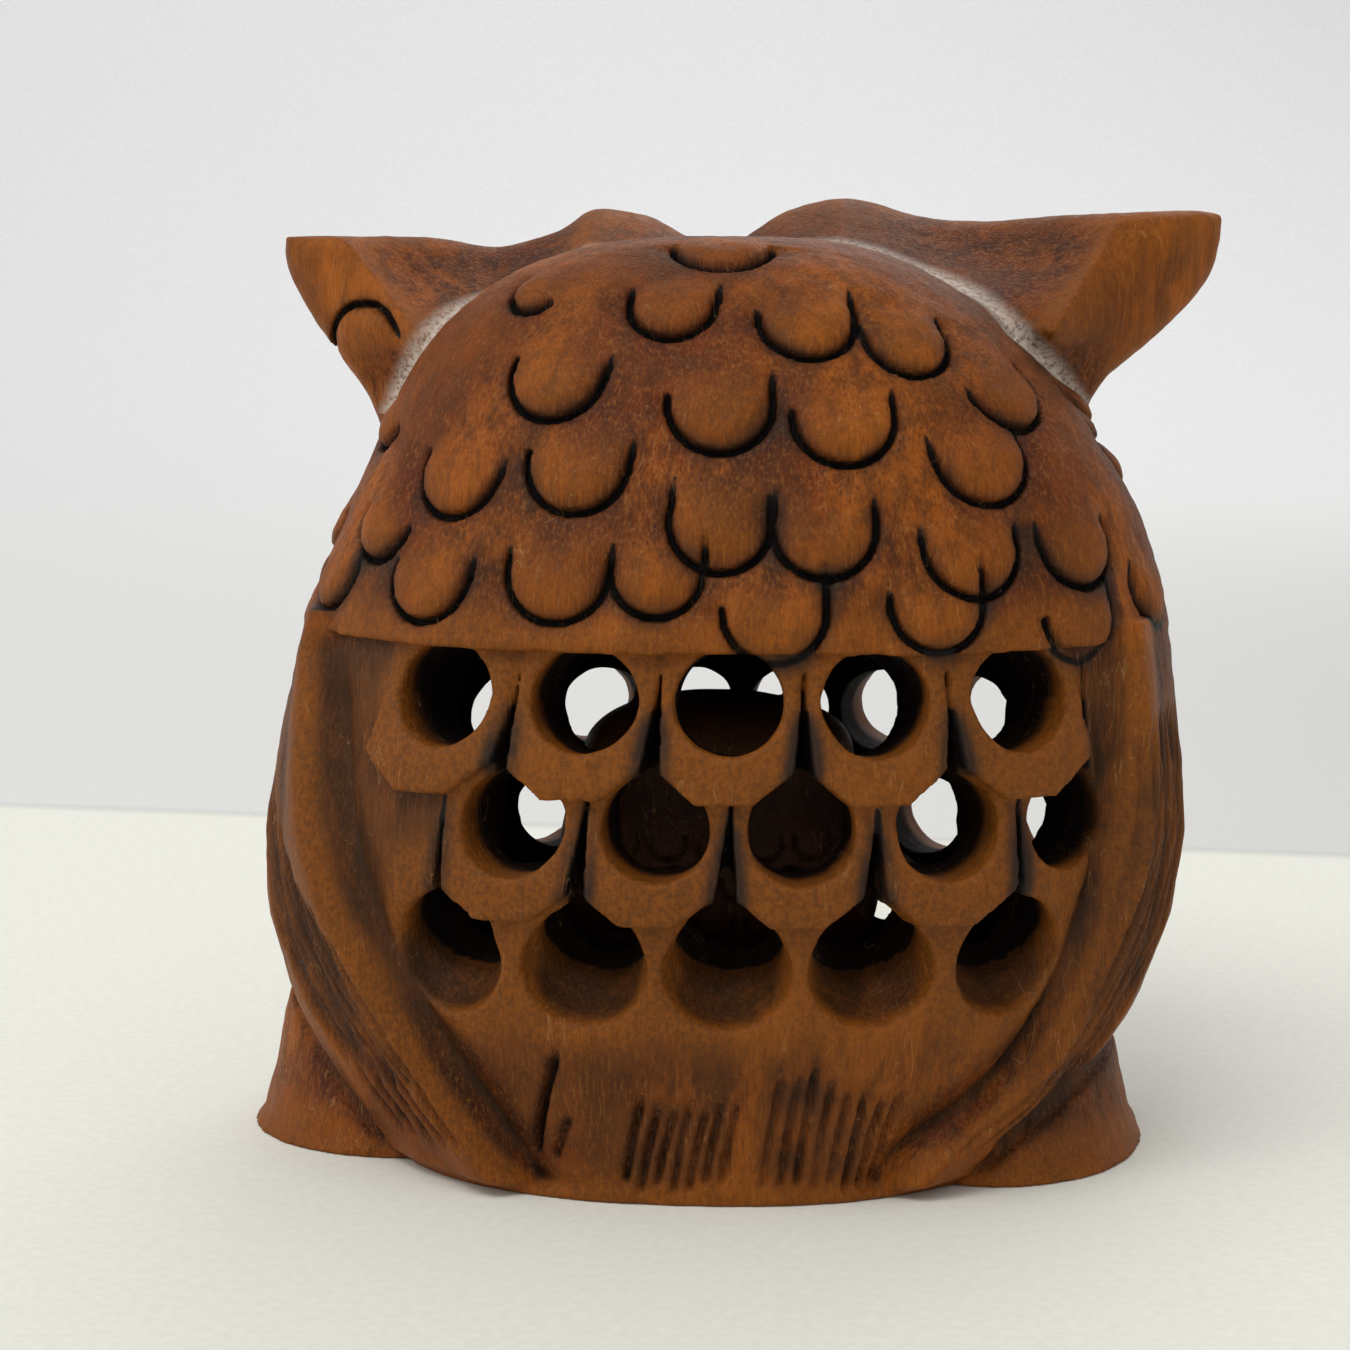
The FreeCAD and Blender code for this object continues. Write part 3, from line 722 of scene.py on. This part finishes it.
for side in (-1, 1):
    for i in (-1, 0, 1):
        base = (3.0 + side * 17.0 + 5.4 * i, -21.0, 3.4)
        cut, toe = capsule(outer, base, (base[0] + 0.8 * i, -28.6, 2.6), 3.3, 2.7)
        body[cut] = smin(body[cut], toe.astype(np.float32), 0.8)
        cut, claw = capsule(outer, (base[0] + 0.8 * i, -29.4, 2.4), (base[0] + 1.0 * i, -32.2, 1.0), 1.5, 0.5)
        body[cut] = smin(body[cut], claw.astype(np.float32), 0.3)

# depth below the smooth skin drives the painted shade inside the bores and the cavity; in the bowls it stops
# at 2.2 mm
nominal = np.where(bowl_depth < 1.0, np.maximum(skin, -2.2), skin)
joined = smin(mantle, plate_part.d, 0.7)
body[top_cut] = smin(body[top_cut], joined, 0.25)
seam = np.maximum(np.abs(dome.nominal), np.abs(plate_part.d)) + FAR_FROM_SEAM * ((tz < 76.0) | (Y < -14.0))
nominal[top_cut] = np.minimum(np.where(tz < LEDGE_Z + 3.0, nominal[top_cut], 99.0),
                              np.minimum(dome.nominal, plate_part.d))
beak_parts = (((FACE_X, PLATE_Y + 2.0, 82.0), (FACE_X, PLATE_Y - 2.6, 74.0), 2.2, 3.4),
              ((FACE_X, PLATE_Y - 2.6, 74.0), (FACE_X, PLATE_Y - 1.4, 64.0), 3.4, 1.0))
for a, b, ra, rb in beak_parts:
    cut, q = capsule(outer, a, b, ra, rb)
    body[cut] = smin(body[cut], q.astype(np.float32), 1.0)

# --- cavity, table plane and the hand-cut unevenness -----------------------------------------------
ck = np.interp(levels, (FLOOR_Z, FLOOR_Z + 8.0, 36.0, 46.0, 53.0, CAVITY_TOP),
               (0.90, 0.97, 1.0, 0.97, 0.86, 0.66))
cav = (np.abs(XM / (CAVITY_HALF * ck[None, None, :])) ** N
       + np.abs(Y / (np.where(Y > 0, CAVITY_BACK, CAVITY_FRONT) * ck[None, None, :])) ** N) ** (1.0 / N)
cav = from_outline(XM, Y, cav).astype(np.float32)
cav += 0.55 * noise3(outer.shape, STEP, 5.0, 11) + 0.6 * noise3(outer.shape, STEP, 1.7, 12)
cav = smax(cav, np.maximum(FLOOR_Z - Z, Z - CAVITY_TOP) * np.ones_like(cav), 1.0)
cav = np.maximum(cav, FLOOR_Z - Z)
body = smax(body, -cav, 0.5)
body += 0.16 * noise3(outer.shape, STEP, 7.0, 3) + 0.07 * noise3(outer.shape, STEP, 2.4, 5)
body += 0.07 * noise3(outer.shape, STEP, 1.2, 6)
body = smax(body, 0.0 - Z * np.ones_like(body), 0.35)
outer.d = body.astype(np.float32)


def to_object(name, block, attributes):
    points, quads = block.mesh()
    mesh = bpy.data.meshes.new(name)
    mesh.vertices.add(len(points))
    mesh.vertices.foreach_set("co", (points * MM).astype(np.float32).ravel())
    mesh.loops.add(len(quads) * 4)
    mesh.loops.foreach_set("vertex_index", quads.astype(np.int32).ravel())
    mesh.polygons.add(len(quads))
    mesh.polygons.foreach_set("loop_start", np.arange(0, len(quads) * 4, 4, dtype=np.int32))
    mesh.update()
    mesh.validate()
    mesh.polygons.foreach_set("use_smooth", np.ones(len(mesh.polygons), bool))
    for key, field in attributes.items():
        values = block.sample(field, points)
        layer = mesh.attributes.new(key, "FLOAT", "POINT")
        layer.data.foreach_set("value", values)
    obj = bpy.data.objects.new(name, mesh)
    bpy.context.scene.collection.objects.link(obj)
    return obj


# how much wood lies round each point, within about 1 mm and 3.2 mm: the material paints shade where these are
# high and wear where the wider one is low
solid = (outer.d < 0).astype(np.float32)
hollow_near = box_blur(solid, max(1, int(round(1.0 / STEP))))
hollow_far = box_blur(solid, max(2, int(round(3.2 / STEP))))
seam_full = np.full(outer.shape, FAR_FROM_SEAM, np.float32)
seam_full[top_cut] = seam
crease_shade[top_cut] = np.maximum(dome.line * (np.abs(dome.d) < 2.5),
                                plate_part.line * (np.abs(plate_part.d) < 2.5))
# painted shade: a soft halo round the grooves, slits and folds
crease_blur_shade = box_blur(crease_shade * (np.abs(outer.d) < 1.5), max(1, int(round(1.1 / STEP))))
owl = to_object("owl_carving", outer, {"crease_blur_shade": crease_blur_shade, "depth": -nominal, "near": hollow_near,
                                       "far": hollow_far, "seam": seam_full, "line": crease_shade})
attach(owl, "outer")
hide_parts("outer_owl")

# --- the owlet ------------------------------------------------------------------------------------
OWLET_STEP = 0.33
cx, cy = OWLET_X, OWLET_Y
small = Block((cx - 20.0, cy - 15.0, 15.5), (cx + 20.0, cy + 15.0, 51.5), OWLET_STEP)
x, y, z = small.x - cx, small.y - cy, small.z - FLOOR_Z
OWLET_RINGS = np.array([(-3.0, 0.75), (0.0, 0.80), (3.0, 0.90), (9.0, 1.0), (15.0, 0.98), (19.5, 0.87),
                        (22.0, 0.83), (25.5, 0.85), (28.0, 0.73), (30.2, 0.48), (31.2, 0.12), (34.0, 0.02)])
lv, (ring_k,) = fine_table(OWLET_RINGS)
k = np.interp(small.z.ravel() - FLOOR_Z, lv, ring_k)[None, None, :]
q = (np.abs(x / (OWLET_HALF * k)) ** 2.1 + np.abs(y / (OWLET_DEPTH * k)) ** 2.1) ** (1 / 2.1)
chick = from_outline(x, y, q) * 0.9
chick = smax(chick, z - 30.6, 3.0)
chick = chick.astype(np.float32)


def small_blob(centre, radii):
    q = np.sqrt(((x - centre[0]) / radii[0]) ** 2 + ((y - centre[1]) / radii[1]) ** 2
                + ((z - centre[2]) / radii[2]) ** 2)
    return (q - 1.0) * min(radii)


for side in (-1, 1):
    chick = smin(chick, small_blob((side * 14.0, 0.0, 12.0), (3.0, 8.0, 9.0)).astype(np.float32), 0.6)
    base, tip = np.array([side * 7.2, -2.8, 25.0]), np.array([side * 8.2, -3.4, 31.2])
    d = tip - base
    t = np.clip(((x - base[0]) * d[0] + (y - base[1]) * d[1] + (z - base[2]) * d[2]) / float(d @ d), 0.0, 1.0)
    ear = np.sqrt((x - base[0] - t * d[0]) ** 2 + (y - base[1] - t * d[1]) ** 2
                  + (z - base[2] - t * d[2]) ** 2)
    chick = smin(chick, (ear - (3.2 - 2.4 * t)).astype(np.float32), 0.8)
    chick = smin(chick, small_blob((side * 4.8, -8.9, 24.4), (3.4, 1.9, 3.4)).astype(np.float32), 0.4)
    chick = smax(chick, -(small_blob((side * 4.8, -10.8, 24.4), (1.5, 0.9, 1.5))).astype(np.float32), 0.3)
    wing_skin = chick.copy()
    for i in range(4):
        cutter = np.abs(y + 3.2 - 2.2 * i + 0.12 * (z - 12.0)) - 0.35
        ends = smooth_between(z, 4.0 + i, 6.0 + i) * (1.0 - smooth_between(z, 16.0 - i, 18.0 - i))
        cutting = (side * x > 11.0) & (cutter < 0.0)
        flute = wing_skin + 0.8 * ends * np.clip(-cutter / 0.3, 0.0, 1.0)
        chick = np.where(cutting, np.maximum(chick, flute), chick)
chick = smin(chick, small_blob((0.0, -9.9, 20.8), (1.5, 2.2, 2.6)).astype(np.float32), 0.5)
chick_skin = chick.copy()
for row in range(4):
    for i in range(-2, 3):
        gx0 = i * 5.0 + (row % 2) * 2.5
        gz0 = 16.5 - row * 4.2
        u, v = x - gx0, z - gz0
        e = np.abs(np.where(v < 0, np.sqrt(u * u + v * v), np.abs(u)) - 1.9) - 0.28
        fade = smooth_between(v, 0.4, 1.4)
        cutter = np.maximum(np.maximum(e + fade * 1.5, np.abs(u) - 2.6), np.abs(v) - 3.0)
        scale_line = chick_skin + 0.7 * np.clip(-cutter / 0.25, 0.0, 1.0)
        chick = np.maximum(chick, np.where(cutter < 0.0, scale_line, chick))
chick += 0.12 * noise3(small.shape, OWLET_STEP, 3.0, 21)
chick = np.maximum(chick, -z * np.ones_like(chick))
small.d = chick.astype(np.float32)
solid = (small.d < 0).astype(np.float32)
owlet_near = box_blur(solid, max(1, int(round(0.9 / OWLET_STEP))))
owlet_far = box_blur(solid, max(2, int(round(2.6 / OWLET_STEP))))
none = np.zeros_like(small.d)
owlet = to_object("owlet_carving", small, {"depth": none, "near": owlet_near, "far": owlet_far,
                                           "seam": np.full_like(small.d, FAR_FROM_SEAM), "line": none,
                                           "crease_blur_shade": none})
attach(owlet, "inner")
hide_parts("owlet")


# --- wood -----------------------------------------------------------------------------------------
class Nodes:
    """A small helper for wiring a node material."""

    def __init__(self, name):
        self.mat = bpy.data.materials.new(name)
        self.mat.use_nodes = True
        self.tree = self.mat.node_tree
        self.shader = self.tree.nodes["Principled BSDF"]

    def node(self, kind, **values):
        """A new node; a value named i_Something goes to its input Something, the rest are settings."""
        n = self.tree.nodes.new(kind)
        for key, v in values.items():
            if key.startswith("i_"):
                self.plug(n.inputs[key[2:].replace("_", " ")], v)
            else:
                setattr(n, key, v)
        return n

    def plug(self, socket, v):
        if isinstance(v, bpy.types.NodeSocket):
            self.tree.links.new(v, socket)
        else:
            socket.default_value = v

    def attribute(self, name):
        return self.node("ShaderNodeAttribute", attribute_name=name).outputs["Fac"]

    def math(self, kind, a, b=0.0, c=0.0):
        n = self.node("ShaderNodeMath", operation=kind)
        for socket, v in zip(n.inputs, (a, b, c)):
            self.plug(socket, v)
        return n.outputs[0]

    def ramp(self, v, low, high, out_low=0.0, out_high=1.0):
        n = self.node("ShaderNodeMapRange", interpolation_type="SMOOTHSTEP")
        for key, value in (("Value", v), ("From Min", low), ("From Max", high), ("To Min", out_low),
                           ("To Max", out_high)):
            self.plug(n.inputs[key], value)
        return n.outputs[0]

    def noise(self, vector, scale, detail=3.0, rough=0.55, stretch=(1.0, 1.0, 1.0), distort=0.0):
        m = self.node("ShaderNodeMapping")
        m.inputs["Scale"].default_value = stretch
        self.plug(m.inputs["Vector"], vector)
        n = self.node("ShaderNodeTexNoise")
        self.plug(n.inputs["Vector"], m.outputs[0])
        for key, value in (("Scale", scale), ("Detail", detail), ("Roughness", rough),
                           ("Distortion", distort)):
            self.plug(n.inputs[key], value)
        return n.outputs["Fac"]

    def mix(self, factor, a, b, kind="MIX"):
        n = self.node("ShaderNodeMix", data_type="RGBA", blend_type=kind)
        self.plug(n.inputs[0], factor)
        self.plug(n.inputs[6], a)
        self.plug(n.inputs[7], b)
        return n.outputs[2]


def rgb(hexa):
    """sRGB hex to the linear colour that the shader wants."""
    c = [int(hexa[i:i + 2], 16) / 255.0 for i in (0, 2, 4)]
    return tuple(v / 12.92 if v <= 0.04045 else ((v + 0.055) / 1.055) ** 2.4 for v in c) + (1.0,)


def wood(name, tone):
    w = Nodes(name)
    at = w.node("ShaderNodeTexCoord").outputs["Object"]
    depth, near, far, seam, line, crease_blur_shade = (w.attribute(k) for k in ("depth", "near", "far", "seam", "line",
                                                                   "crease_blur_shade"))
    patches = w.noise(at, 48.0, 3.0, 0.55, (1.0, 1.0, 0.6), 0.4)
    blots = w.noise(at, 120.0, 4.0, 0.62, (1.0, 1.0, 0.7), 0.6)
    streaks = w.noise(at, 520.0, 3.0, 0.6, (1.0, 1.0, 0.09), 0.3)
    flecks = w.noise(at, 3200.0, 2.0, 0.6, (1.0, 1.0, 0.075))
    fine = w.noise(at, 1800.0, 4.0, 0.7)
    stain = w.noise(at, 26.0, 4.0, 0.6, (1.0, 1.0, 0.8), 0.8)
    base = w.mix(w.ramp(patches, 0.38, 0.56), rgb(tone["red"]), rgb(tone["orange"]))
    base = w.mix(w.ramp(stain, 0.46, 0.62, 0.0, 0.75), base, rgb(tone["stain"]))
    base = w.mix(w.ramp(blots, 0.46, 0.64, 0.0, 0.72), base, rgb(tone["dark"]))
    base = w.mix(w.ramp(streaks, 0.42, 0.64, 0.0, 0.60), base, rgb(tone["dark"]))
    base = w.mix(w.ramp(flecks, 0.52, 0.66, 0.0, 0.50), base, rgb(tone["fleck"]))
    base = w.mix(w.ramp(flecks, 0.46, 0.34, 0.0, 0.18), base, rgb(tone["pale"]))
    base = w.mix(w.ramp(fine, 0.52, 0.68, 0.0, 0.28), base, rgb(tone["fleck"]))
    base = w.mix(w.ramp(fine, 0.46, 0.34, 0.0, 0.18), base, rgb(tone["pale"]))
    height_m = w.node("ShaderNodeSeparateXYZ", i_Vector=at).outputs["Z"]
    # painted shade: the body below 57 mm is darkened towards the low tone, most from 24 mm to 53 mm up, about
    # a third as much at the foot
    lower_body_shade = w.math("MULTIPLY", w.ramp(height_m, 0.0570, 0.0530, 0.0, 0.62),
                     w.ramp(height_m, 0.010, 0.024, 0.35, 1.0))
    base = w.mix(lower_body_shade, base, rgb(tone["low"]))
    # crests are worn paler and more orange; hollows get painted shade, grey-brown
    worn = w.math("MULTIPLY", w.ramp(far, 0.53, 0.38), w.ramp(fine, 0.35, 0.6, 0.35, 1.0))
    base = w.mix(w.math("MULTIPLY", worn, 0.50), base, rgb(tone["worn"]))
    # painted shade in the hollows
    low = w.math("MULTIPLY", w.ramp(far, 0.55, 0.72), w.ramp(blots, 0.3, 0.6, 0.6, 1.0))
    base = w.mix(w.math("MULTIPLY", low, 0.80), base, rgb(tone["low"]))
    # painted shade round the grooves and creases, broken up by the blots
    halo_shade = w.math("MULTIPLY", w.ramp(crease_blur_shade, 0.02, 0.30), w.ramp(blots, 0.35, 0.60, 0.45, 0.95))
    base = w.mix(halo_shade, base, rgb(tone["halo_shade"]))
    # painted shade, near black, in tight recesses
    cut = w.ramp(near, 0.60, 0.78)
    base = w.mix(w.math("MULTIPLY", cut, 0.80), base, rgb(tone["cut"]))
    # painted shade along the grooves, slits and folds
    base = w.mix(w.ramp(line, 0.20, 0.75, 0.0, 0.97), base, rgb(tone["line"]))
    # painted shade inside the bores and the cavity, darker with depth
    inside = w.ramp(depth, 1.6, 4.2)
    base = w.mix(w.math("MULTIPLY", inside, 0.96), base, rgb(tone["inside"]))
    # fine scratches and pale dust
    scratch = w.noise(at, 300.0, 2.0, 0.5, (1.0, 1.0, 0.16), 1.6)
    scratch = w.math("MULTIPLY", w.ramp(w.math("ABSOLUTE", w.math("SUBTRACT", scratch, 0.5)), 0.007, 0.001),
                     w.ramp(blots, 0.40, 0.55, 0.24, 0.0))
    base = w.mix(scratch, base, rgb(tone["scratch"]))
    dust = w.math("MULTIPLY", w.ramp(seam, 2.5, 0.3), w.ramp(fine, 0.36, 0.54, 0.25, 1.0))
    base = w.mix(dust, base, rgb("c3b3a5"))
    w.plug(w.shader.inputs["Base Color"], base)
    rough = w.math("ADD", w.ramp(fine, 0.3, 0.7, 0.46, 0.62),
                   w.math("MULTIPLY", w.math("MAXIMUM", cut, inside), 0.3))
    w.plug(w.shader.inputs["Roughness"], rough)
    w.shader.inputs["Specular IOR Level"].default_value = 0.14
    height = w.math("ADD", w.math("MULTIPLY", flecks, 0.7), w.math("MULTIPLY", fine, 0.4))
    height = w.math("ADD", height, w.math("MULTIPLY", streaks, 0.8))
    bump = w.node("ShaderNodeBump")
    bump.inputs["Strength"].default_value = 0.5
    bump.inputs["Distance"].default_value = 0.0004
    w.plug(bump.inputs["Height"], height)
    w.plug(w.shader.inputs["Normal"], bump.outputs[0])
    return w.mat


# the low, cut, line and inside tones and the dark tone round the grooves are painted shade
OUTER = dict(red="642806", orange="914a0c", stain="502106", dark="351807", fleck="241006", pale="b47630",
             worn="a05a16", low="3c2814", halo_shade="2c2018", cut="0e0704", inside="070302", line="070403",
             scratch="bd905a")
# the owlet's palette is the outer one made darker: painted shade, as it sits inside the shell
INNER_SHADED = dict(OUTER, stain="2c140a", red="3a1a0a", orange="4a250e", dark="26120a", fleck="1a0d06",
             pale="6a4222", worn="5a3012", low="20120a")
owl.data.materials.append(wood("outer_wood", OUTER))
owlet.data.materials.append(wood("inner_wood", INNER_SHADED))

# --- stage, light and camera ----------------------------------------------------------------------
def stage_sheet():
    """Pale table and, beyond its far edge, a floor of another tone that turns up into a wall, with painted
    shade on the floor.
    """
    rows = [(y, 0.0) for y in np.linspace(1.2, -1.0, 20)]
    rows += [(-1.0 - 0.3 * math.sin(t), 0.3 - 0.3 * math.cos(t)) for t in np.linspace(0.05, math.pi / 2, 16)]
    rows += [(-1.3, v) for v in np.linspace(0.4, 2.2, 8)]
    verts, faces = [], []
    for y0, z0 in rows:
        verts += [(-2.4, y0, z0), (2.4, y0, z0)]
    for i in range(len(rows) - 1):
        faces.append((2 * i, 2 * i + 1, 2 * i + 3, 2 * i + 2))
    mesh = bpy.data.meshes.new("stage_sheet")
    mesh.from_pydata(verts, [], faces)
    mesh.polygons.foreach_set("use_smooth", [True] * len(faces))
    obj = bpy.data.objects.new("stage_sheet", mesh)
    bpy.context.scene.collection.objects.link(obj)
    w = Nodes("stage_paper")
    at = w.node("ShaderNodeTexCoord").outputs["Object"]
    xyz = w.node("ShaderNodeSeparateXYZ", i_Vector=at).outputs
    edge = w.math("ADD", xyz["Y"], w.math("MULTIPLY", xyz["X"], 0.13))
    beyond = w.ramp(edge, -0.1650, -0.1685)
    lip = w.math("MULTIPLY", w.ramp(edge, -0.1625, -0.1660), w.ramp(edge, -0.1710, -0.1668))
    grain = w.ramp(w.noise(at, 900.0, 2.0, 0.5), 0.3, 0.7, 0.97, 1.02)
    # painted shade: the floor beyond the table is darker towards -X and near the table's edge, and paler
    # towards the wall
    near_edge = w.mix(w.ramp(xyz["X"], 0.05, -0.25), (0.75, 0.745, 0.725, 1.0), (0.63, 0.625, 0.60, 1.0))
    far_floor = w.mix(w.ramp(xyz["Y"], -0.22, -1.30), near_edge, (0.94, 0.935, 0.935, 1.0))
    tone = w.mix(beyond, (0.85, 0.85, 0.77, 1.0), far_floor)
    tone = w.mix(w.math("MULTIPLY", lip, 0.28), tone, (0.45, 0.44, 0.42, 1.0))
    w.plug(w.shader.inputs["Base Color"], w.mix(1.0, tone, grain, "MULTIPLY"))
    w.shader.inputs["Roughness"].default_value = 0.8
    mesh.materials.append(w.mat)
    return obj


def area_light(name, at, toward, size, power, colour):
    data = bpy.data.lights.new(name, "AREA")
    data.shape = "RECTANGLE"
    data.size, data.size_y = size
    data.energy = power
    data.color = colour
    obj = bpy.data.objects.new(name, data)
    obj.location = at
    obj.rotation_euler = (Vector(toward) - Vector(at)).to_track_quat("-Z", "Y").to_euler()
    bpy.context.scene.collection.objects.link(obj)
    return obj


sheet = stage_sheet()
lights = [
    area_light("key_light", (0.30, 0.55, 1.05), (0.0, 0.0, 0.06), (0.7, 0.6), 5.2, (1.0, 0.985, 0.96)),
    area_light("side_light", (1.05, 0.20, 0.45), (0.0, 0.0, 0.05), (0.7, 0.7), 2.4, (1.0, 0.97, 0.93)),
    area_light("front_light", (-0.30, -0.90, 0.75), (0.0, 0.0, 0.05), (0.9, 0.7), 2.4, (1.0, 0.99, 0.97)),
]
world = bpy.data.worlds.new("soft_room")
world.use_nodes = True
world.node_tree.nodes["Background"].inputs[0].default_value = (0.97, 0.98, 1.0, 1.0)
world.node_tree.nodes["Background"].inputs[1].default_value = 0.60
bpy.context.scene.world = world
bpy.context.scene.view_settings.view_transform = "Standard"

CAMERA_AT = Vector((-8.1, 304.7, 90.5)) * MM
YAW, PITCH_DOWN, ROLL = (math.radians(v) for v in (2.71, 7.75, 0.25))
ahead = Vector((math.sin(YAW) * math.cos(PITCH_DOWN), -math.cos(YAW) * math.cos(PITCH_DOWN),
                -math.sin(PITCH_DOWN)))
right = Vector((-math.cos(YAW), -math.sin(YAW), 0.0))
over = right.cross(ahead)
image_right = right * math.cos(ROLL) + over * math.sin(ROLL)
image_up = over * math.cos(ROLL) - right * math.sin(ROLL)
camera = bpy.data.objects.new("camera", bpy.data.cameras.new("camera"))
camera.data.sensor_width = 36.0
camera.data.lens = 2900.0 / 1350.0 * 36.0
camera.data.clip_start = 0.01
camera.matrix_world = Matrix((image_right, image_up, -ahead)).transposed().to_4x4()
camera.location = CAMERA_AT
bpy.context.scene.collection.objects.link(camera)
bpy.context.scene.camera = camera
